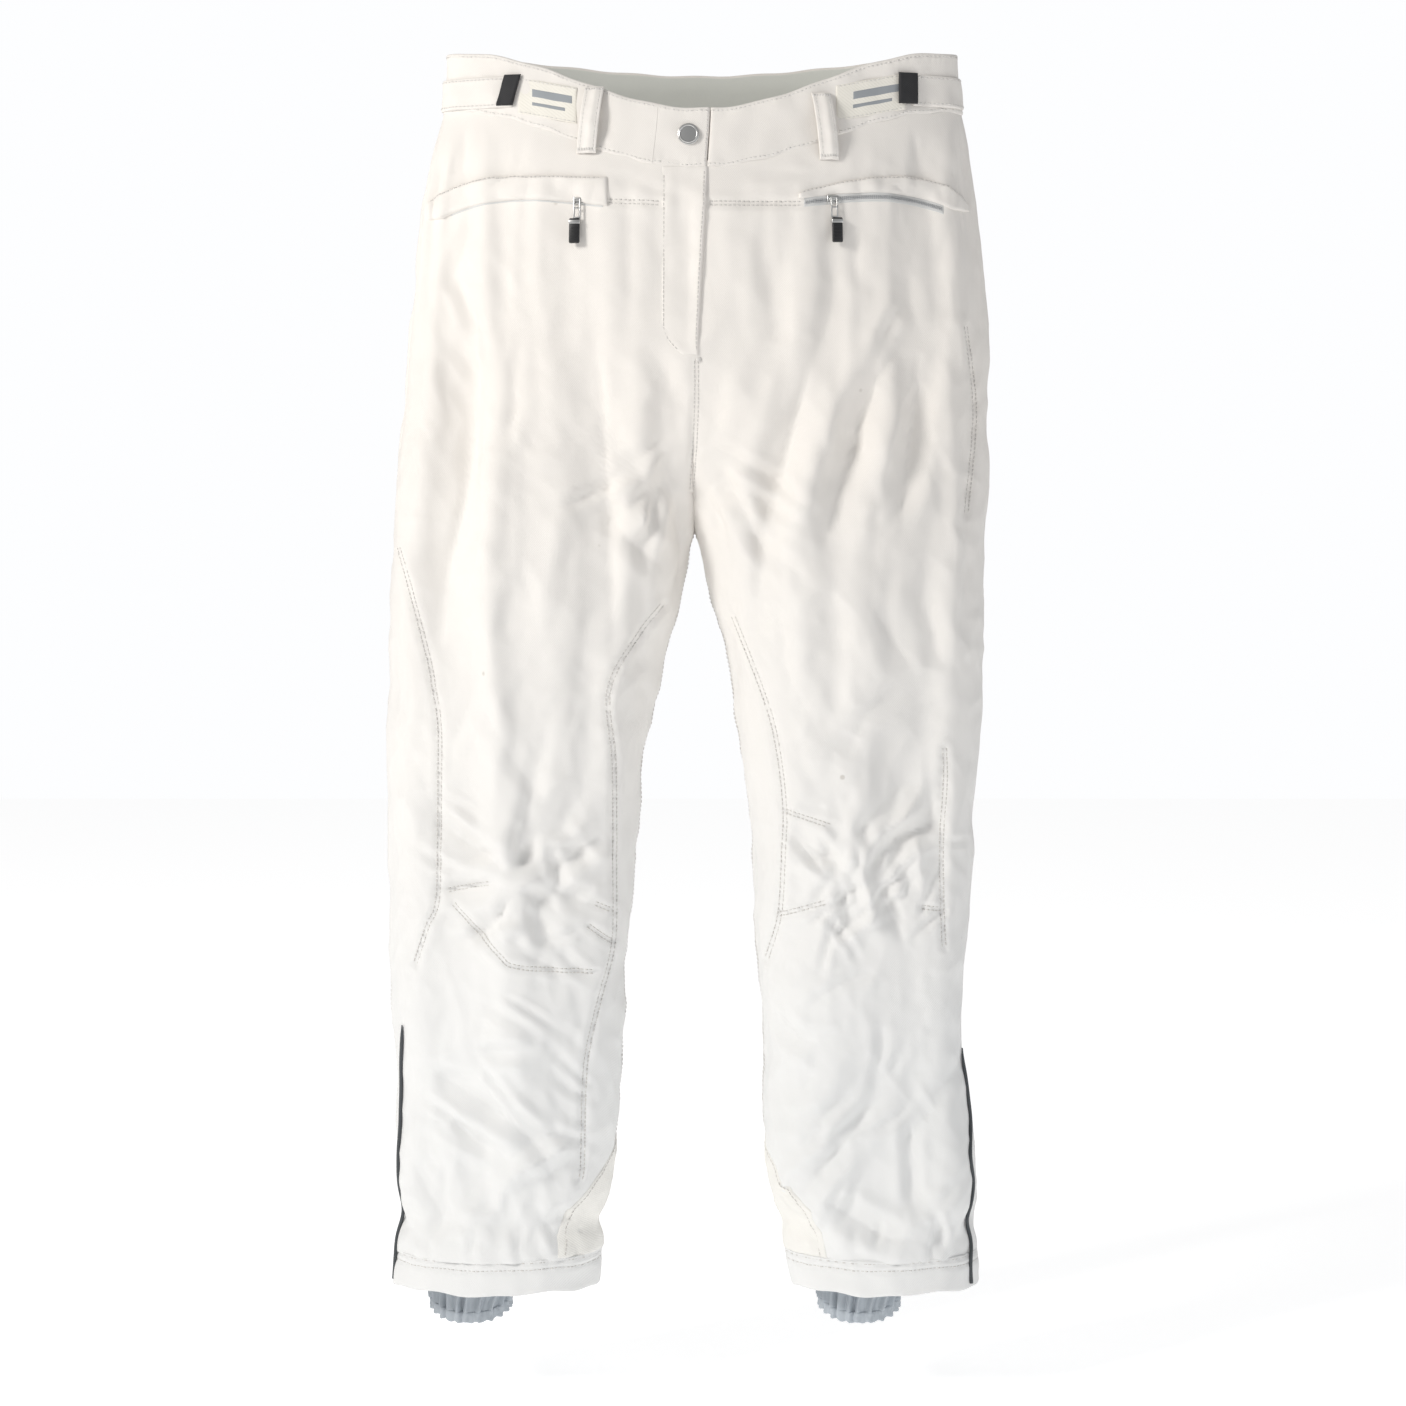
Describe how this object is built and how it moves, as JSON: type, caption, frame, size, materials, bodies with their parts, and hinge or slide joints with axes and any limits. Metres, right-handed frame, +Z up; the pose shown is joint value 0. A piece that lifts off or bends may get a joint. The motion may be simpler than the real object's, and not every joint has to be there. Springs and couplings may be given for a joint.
{
  "type": "ski pants",
  "caption": "Hanging insulated ski pants with snapped fly, zipped hand pockets, waist adjusters, articulated knees, hem bands, scuff guards and gathered inner snow gaiters",
  "frame": {"origin": "middle of the waist opening, level with the highest point of its edge", "axes": "+Z up along the hanging garment, -Y the wearer's front, +X the wearer's left"},
  "size_m": [0.5087, 0.156, 1.0754],
  "materials": {
    "shell_fabric": "matt woven twill shell, waterproof backed",
    "lining": "smooth off-white lining",
    "cream_trim": "cream woven tape and scuff cloth",
    "gaiter_cloth": "grey gathered nylon",
    "dark_tape": "dark grey coil zip tape and piping",
    "black_tab": "moulded soft black tab",
    "zip_metal": "satin nickel"
  },
  "bodies": {
    "hips": {"waistband_front_right": "shell_fabric", "waistband_front_left": "shell_fabric", "waistband_back": "shell_fabric", "waist_facing": "lining", "snap_stud": "zip_metal", "front_yoke_right": "shell_fabric", "front_panel_right": "shell_fabric", "seat_panel_right": "shell_fabric", "pocket_zip_right": "dark_tape", "pocket_bag_right": "lining", "front_yoke_left": "shell_fabric", "front_panel_left": "shell_fabric", "seat_panel_left": "shell_fabric", "pocket_zip_left": "dark_tape", "pocket_bag_left": "lining", "crotch_gusset": "shell_fabric", "fly_zip": "lining", "fly_guard": "shell_fabric", "belt_loop_right": "shell_fabric", "belt_loop_left": "shell_fabric", "waist_patch_right": "cream_trim", "waist_patch_left": "cream_trim", "hip_fold_right": "shell_fabric", "hip_fold_left": "shell_fabric"},
    "waist_tab": {"waist_tab": "shell_fabric", "snap_cap": "zip_metal", "snap_socket": "zip_metal"},
    "fly_slider": {"fly_slider": "zip_metal"},
    "adjuster_right": {"adjuster_strap_right": "shell_fabric", "adjuster_pull_right": "black_tab"},
    "pocket_slider_right": {"pocket_slider_right": "zip_metal"},
    "pocket_puller_right": {"pocket_link_right": "zip_metal", "pocket_tag_right": "black_tab"},
    "thigh_right": {"thigh_back_right": "shell_fabric", "thigh_front_right": "shell_fabric", "knee_fold_right": "shell_fabric"},
    "shin_right": {"shin_back_right": "shell_fabric", "shin_front_right": "shell_fabric", "hem_band_right": "shell_fabric", "scuff_guard_right": "cream_trim", "piping_right": "dark_tape", "gaiter_right": "gaiter_cloth", "gaiter_elastic_right": "gaiter_cloth"},
    "adjuster_left": {"adjuster_strap_left": "shell_fabric", "adjuster_pull_left": "black_tab"},
    "pocket_slider_left": {"pocket_slider_left": "zip_metal"},
    "pocket_puller_left": {"pocket_link_left": "zip_metal", "pocket_tag_left": "black_tab"},
    "thigh_left": {"thigh_back_left": "shell_fabric", "thigh_front_left": "shell_fabric", "knee_fold_left": "shell_fabric"},
    "shin_left": {"shin_back_left": "shell_fabric", "shin_front_left": "shell_fabric", "hem_band_left": "shell_fabric", "scuff_guard_left": "cream_trim", "piping_left": "dark_tape", "gaiter_left": "gaiter_cloth", "gaiter_elastic_left": "gaiter_cloth"}
  },
  "joints": [
    {"name": "hip_bend_right", "type": "hinge", "parent": "hips", "child": "thigh_right", "pos_m": [0, 0, -0.371], "axis": [-1, 0, 0], "range_deg": [-15, 45], "deforming": ["hip_fold_right"]},
    {"name": "knee_bend_right", "type": "hinge", "parent": "thigh_right", "child": "shin_right", "pos_m": [0, 0, -0.715], "axis": [1, 0, 0], "range_deg": [0, 75], "deforming": ["knee_fold_right"]},
    {"name": "hip_bend_left", "type": "hinge", "parent": "hips", "child": "thigh_left", "pos_m": [0, 0, -0.371], "axis": [-1, 0, 0], "range_deg": [-15, 45], "deforming": ["hip_fold_left"]},
    {"name": "knee_bend_left", "type": "hinge", "parent": "thigh_left", "child": "shin_left", "pos_m": [0, 0, -0.715], "axis": [1, 0, 0], "range_deg": [0, 75], "deforming": ["knee_fold_left"]},
    {"name": "waist_tab_open", "type": "hinge", "parent": "hips", "child": "waist_tab", "pos_m": [-0.03742, -0.05795, -0.07167], "axis": [-0.1048, -0.1465, -0.9836], "range_deg": [0, 110]},
    {"name": "adjuster_peel_right", "type": "hinge", "parent": "hips", "child": "adjuster_right", "pos_m": [-0.2125, 0.0085, -0.035], "axis": [0, 0, -1], "range_deg": [0, 60]},
    {"name": "adjuster_peel_left", "type": "hinge", "parent": "hips", "child": "adjuster_left", "pos_m": [0.216, 0.008, -0.033], "axis": [0, 0, 1], "range_deg": [0, 60]},
    {"name": "fly_unzip", "type": "slide", "parent": "hips", "child": "fly_slider", "axis": [0, -0.0936, -0.9956], "range_m": [0, 0.1]},
    {"name": "pocket_unzip_right", "type": "hinge", "parent": "hips", "child": "pocket_slider_right", "pos_m": [-0.12411, 0.02892, -0.31729], "axis": [-0.2143, -0.8951, -0.391], "range_deg": [0, 20]},
    {"name": "pocket_pull_right", "type": "hinge", "parent": "pocket_slider_right", "child": "pocket_puller_right", "pos_m": [-0.09998, -0.06385, -0.12508], "axis": [-0.9826, 0.153, 0.1049], "range_deg": [0, 140]},
    {"name": "pocket_unzip_left", "type": "hinge", "parent": "hips", "child": "pocket_slider_left", "pos_m": [0.12551, 0.0284, -0.30118], "axis": [-0.2319, 0.8822, 0.4097], "range_deg": [0, 20]},
    {"name": "pocket_pull_left", "type": "hinge", "parent": "pocket_slider_left", "child": "pocket_puller_left", "pos_m": [0.10959, -0.06108, -0.12404], "axis": [-0.9769, -0.1819, -0.1117], "range_deg": [0, 140]}
  ]
}
